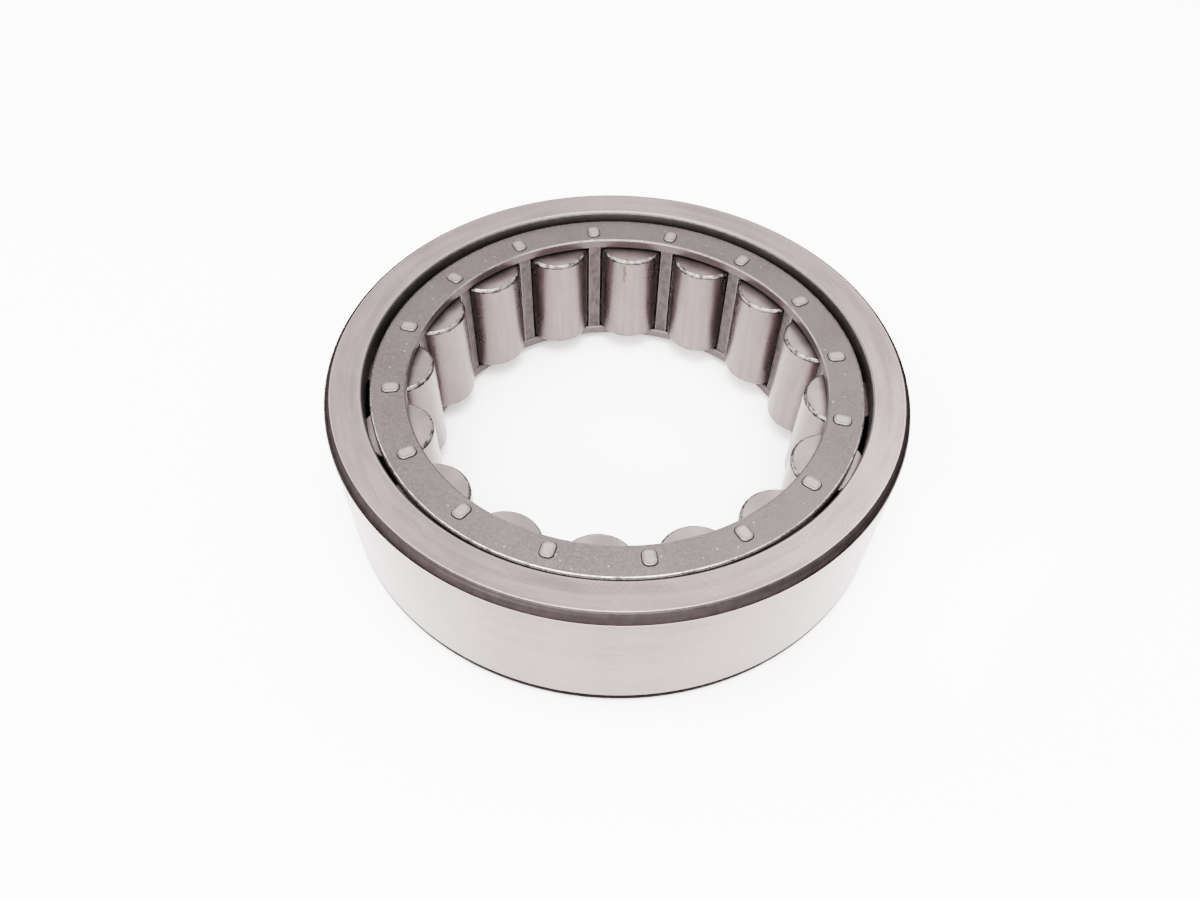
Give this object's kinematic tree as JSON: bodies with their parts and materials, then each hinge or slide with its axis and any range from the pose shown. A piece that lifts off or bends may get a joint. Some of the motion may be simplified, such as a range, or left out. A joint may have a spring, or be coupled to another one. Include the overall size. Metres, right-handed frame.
{
  "type": "cylindrical roller bearing",
  "caption": "Single-row cylindrical roller bearing without an inner ring: a double-ribbed outer ring guides rollers held by a riveted cage, for a shaft that serves as the inner raceway.",
  "frame": {"origin": "on the bearing axis in the plane of the lower face", "axes": "+Z along the bearing axis, from the lower face to the upper face; +X through the first roller's axis"},
  "size_m": [0.085, 0.085, 0.023],
  "materials": {
    "ring_steel": "ground hardened steel, satin",
    "cage_ring_steel": "tumbled sheet steel, matte",
    "cage_bar_steel": "drawn steel bar, matte",
    "roller_steel": "fine ground hardened steel, satin, with tumbled corners"
  },
  "bodies": {
    "outer_ring": {"outer_ring": "ring_steel"},
    "cage": {"cage_ring_lower": "cage_ring_steel", "cage_ring_upper": "cage_ring_steel", "cage_bar_01": "cage_bar_steel", "cage_bar_02": "cage_bar_steel", "cage_bar_03": "cage_bar_steel", "cage_bar_04": "cage_bar_steel", "cage_bar_05": "cage_bar_steel", "cage_bar_06": "cage_bar_steel", "cage_bar_07": "cage_bar_steel", "cage_bar_08": "cage_bar_steel", "cage_bar_09": "cage_bar_steel", "cage_bar_10": "cage_bar_steel", "cage_bar_11": "cage_bar_steel", "cage_bar_12": "cage_bar_steel", "cage_bar_13": "cage_bar_steel", "cage_bar_14": "cage_bar_steel", "cage_bar_15": "cage_bar_steel", "cage_bar_16": "cage_bar_steel"},
    "roller_01": {"roller_01": "roller_steel"},
    "roller_02": {"roller_02": "roller_steel"},
    "roller_03": {"roller_03": "roller_steel"},
    "roller_04": {"roller_04": "roller_steel"},
    "roller_05": {"roller_05": "roller_steel"},
    "roller_06": {"roller_06": "roller_steel"},
    "roller_07": {"roller_07": "roller_steel"},
    "roller_08": {"roller_08": "roller_steel"},
    "roller_09": {"roller_09": "roller_steel"},
    "roller_10": {"roller_10": "roller_steel"},
    "roller_11": {"roller_11": "roller_steel"},
    "roller_12": {"roller_12": "roller_steel"},
    "roller_13": {"roller_13": "roller_steel"},
    "roller_14": {"roller_14": "roller_steel"},
    "roller_15": {"roller_15": "roller_steel"},
    "roller_16": {"roller_16": "roller_steel"}
  },
  "joints": [
    {"name": "cage_turn", "type": "hinge", "parent": "outer_ring", "child": "cage", "pos_m": [0, 0, 0.0115], "axis": [0, 0, 1], "continuous": true},
    {"name": "roller_01_spin", "type": "hinge", "parent": "cage", "child": "roller_01", "pos_m": [0.033, 0, 0.0115], "axis": [0, 0, 1], "continuous": true},
    {"name": "roller_02_spin", "type": "hinge", "parent": "cage", "child": "roller_02", "pos_m": [0.03049, 0.01263, 0.0115], "axis": [0, 0, 1], "continuous": true},
    {"name": "roller_03_spin", "type": "hinge", "parent": "cage", "child": "roller_03", "pos_m": [0.02334, 0.02334, 0.0115], "axis": [0, 0, 1], "continuous": true},
    {"name": "roller_04_spin", "type": "hinge", "parent": "cage", "child": "roller_04", "pos_m": [0.01263, 0.03049, 0.0115], "axis": [0, 0, 1], "continuous": true},
    {"name": "roller_05_spin", "type": "hinge", "parent": "cage", "child": "roller_05", "pos_m": [0, 0.033, 0.0115], "axis": [0, 0, 1], "continuous": true},
    {"name": "roller_06_spin", "type": "hinge", "parent": "cage", "child": "roller_06", "pos_m": [-0.01263, 0.03049, 0.0115], "axis": [0, 0, 1], "continuous": true},
    {"name": "roller_07_spin", "type": "hinge", "parent": "cage", "child": "roller_07", "pos_m": [-0.02334, 0.02334, 0.0115], "axis": [0, 0, 1], "continuous": true},
    {"name": "roller_08_spin", "type": "hinge", "parent": "cage", "child": "roller_08", "pos_m": [-0.03049, 0.01263, 0.0115], "axis": [0, 0, 1], "continuous": true},
    {"name": "roller_09_spin", "type": "hinge", "parent": "cage", "child": "roller_09", "pos_m": [-0.033, 0, 0.0115], "axis": [0, 0, 1], "continuous": true},
    {"name": "roller_10_spin", "type": "hinge", "parent": "cage", "child": "roller_10", "pos_m": [-0.03049, -0.01263, 0.0115], "axis": [0, 0, 1], "continuous": true},
    {"name": "roller_11_spin", "type": "hinge", "parent": "cage", "child": "roller_11", "pos_m": [-0.02334, -0.02334, 0.0115], "axis": [0, 0, 1], "continuous": true},
    {"name": "roller_12_spin", "type": "hinge", "parent": "cage", "child": "roller_12", "pos_m": [-0.01263, -0.03049, 0.0115], "axis": [0, 0, 1], "continuous": true},
    {"name": "roller_13_spin", "type": "hinge", "parent": "cage", "child": "roller_13", "pos_m": [0, -0.033, 0.0115], "axis": [0, 0, 1], "continuous": true},
    {"name": "roller_14_spin", "type": "hinge", "parent": "cage", "child": "roller_14", "pos_m": [0.01263, -0.03049, 0.0115], "axis": [0, 0, 1], "continuous": true},
    {"name": "roller_15_spin", "type": "hinge", "parent": "cage", "child": "roller_15", "pos_m": [0.02334, -0.02334, 0.0115], "axis": [0, 0, 1], "continuous": true},
    {"name": "roller_16_spin", "type": "hinge", "parent": "cage", "child": "roller_16", "pos_m": [0.03049, -0.01263, 0.0115], "axis": [0, 0, 1], "continuous": true}
  ],
  "couplings": [
    {"joint": "roller_01_spin", "follows": "cage_turn", "ratio": -7.1738},
    {"joint": "roller_02_spin", "follows": "cage_turn", "ratio": -7.1738},
    {"joint": "roller_03_spin", "follows": "cage_turn", "ratio": -7.1738},
    {"joint": "roller_04_spin", "follows": "cage_turn", "ratio": -7.1738},
    {"joint": "roller_05_spin", "follows": "cage_turn", "ratio": -7.1738},
    {"joint": "roller_06_spin", "follows": "cage_turn", "ratio": -7.1738},
    {"joint": "roller_07_spin", "follows": "cage_turn", "ratio": -7.1738},
    {"joint": "roller_08_spin", "follows": "cage_turn", "ratio": -7.1738},
    {"joint": "roller_09_spin", "follows": "cage_turn", "ratio": -7.1738},
    {"joint": "roller_10_spin", "follows": "cage_turn", "ratio": -7.1738},
    {"joint": "roller_11_spin", "follows": "cage_turn", "ratio": -7.1738},
    {"joint": "roller_12_spin", "follows": "cage_turn", "ratio": -7.1738},
    {"joint": "roller_13_spin", "follows": "cage_turn", "ratio": -7.1738},
    {"joint": "roller_14_spin", "follows": "cage_turn", "ratio": -7.1738},
    {"joint": "roller_15_spin", "follows": "cage_turn", "ratio": -7.1738},
    {"joint": "roller_16_spin", "follows": "cage_turn", "ratio": -7.1738}
  ]
}
